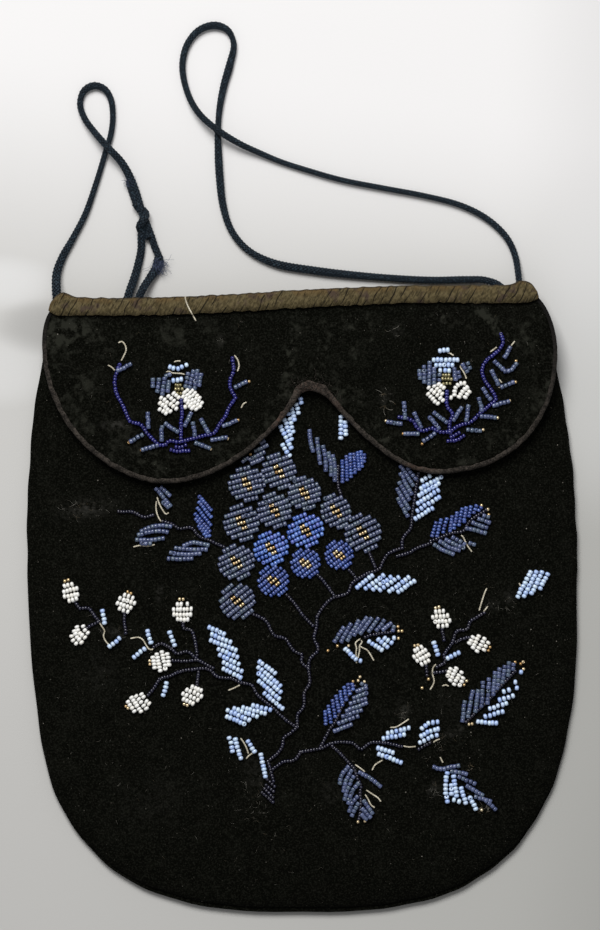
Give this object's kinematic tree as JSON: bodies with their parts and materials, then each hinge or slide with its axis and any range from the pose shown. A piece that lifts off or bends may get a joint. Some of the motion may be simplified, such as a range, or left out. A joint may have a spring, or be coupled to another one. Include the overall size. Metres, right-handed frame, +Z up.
{
  "type": "beaded velvet reticule",
  "caption": "Flat round-bottomed velvet hand bag with a scalloped flap, ribbon-bound mouth, seed-bead flowers and braided silk cords, lying on its back.",
  "frame": {"origin": "on the table, under the middle of the bag's box, cords left out", "axes": "+Y from the round bottom to the mouth, +X to the right seen from the front, +Z up through the front"},
  "size_m": [0.1779, 0.2873, 0.0129],
  "materials": {
    "velvet": "black cotton velvet, worn and a little dusty",
    "mouth_silk": "faded brown silk ribbon with creases",
    "edge_silk": "dark brown silk ribbon",
    "cord_silk": "navy braided silk",
    "seed_beads": "opaque glass seed beads in blues, white and gold",
    "bead_thread": "cream linen thread"
  },
  "bodies": {
    "root": {"back_panel": "velvet", "front_panel": "velvet", "flap": "velvet", "flap_binding": "edge_silk", "mouth_binding_front": "mouth_silk", "mouth_binding_back": "mouth_silk", "cord_left": "cord_silk", "cord_left_end": "cord_silk", "cord_tail": "cord_silk", "cord_right": "cord_silk", "cord_knot": "cord_silk"}
  },
  "joints": []
}
